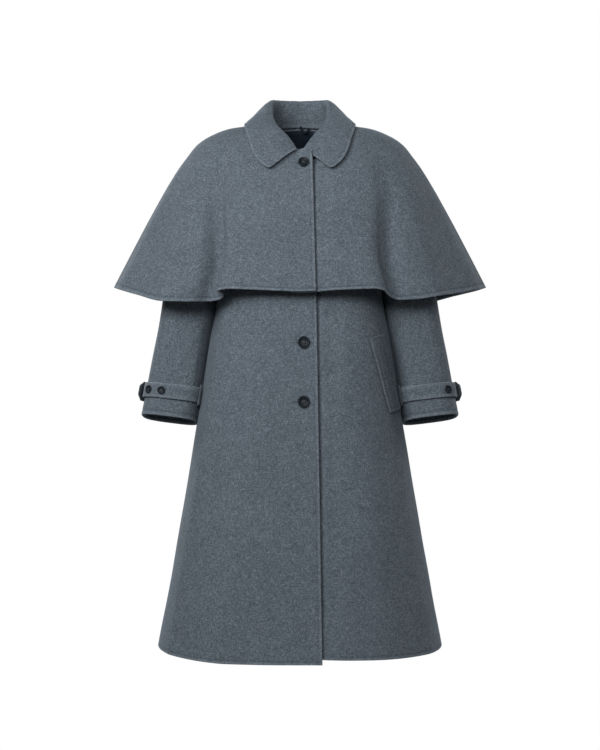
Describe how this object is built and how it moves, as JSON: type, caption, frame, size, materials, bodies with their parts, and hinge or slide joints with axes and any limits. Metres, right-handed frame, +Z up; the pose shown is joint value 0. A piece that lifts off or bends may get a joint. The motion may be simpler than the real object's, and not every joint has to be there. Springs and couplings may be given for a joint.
{
  "type": "wool cape coat",
  "caption": "Long A-line wool coat with a shoulder cape, turn-down collar, buttoned front, slanted welt pocket and strapped cuffs, in its hollow worn form.",
  "frame": {"origin": "At the base of the neck, midway between the shoulder seams, where the wearer's shoulders carry the coat", "axes": "+Z is up the wearer's body, the front of the coat faces -Y, +X is the wearer's left"},
  "size_m": [0.7398, 0.392, 1.0987],
  "materials": {
    "wool": "heathered blue-grey melton wool with a soft raised nap",
    "lining": "smooth dark navy twill lining",
    "horn": "dark polished horn-like buttons with a turned rim"
  },
  "bodies": {
    "root": {"front_right": "wool", "front_left": "wool", "back": "wool", "back_lining": "lining", "sleeve_front_right": "wool", "sleeve_back_right": "wool", "sleeve_front_left": "wool", "sleeve_back_left": "wool", "cape_front_right": "wool", "cape_front_left": "wool", "cape_back": "wool", "collar": "wool", "collar_stand": "wool", "pocket_welt_left": "wool", "cuff_strap_right": "wool", "cuff_strap_left": "wool", "cuff_tab_right": "wool", "cuff_tab_left": "wool", "strap_loop_right": "wool", "strap_loop_left": "wool", "button_1": "horn", "button_2": "horn", "button_3": "horn", "strap_button_right_1": "horn", "strap_button_right_2": "horn", "strap_button_left_1": "horn"}
  },
  "joints": []
}
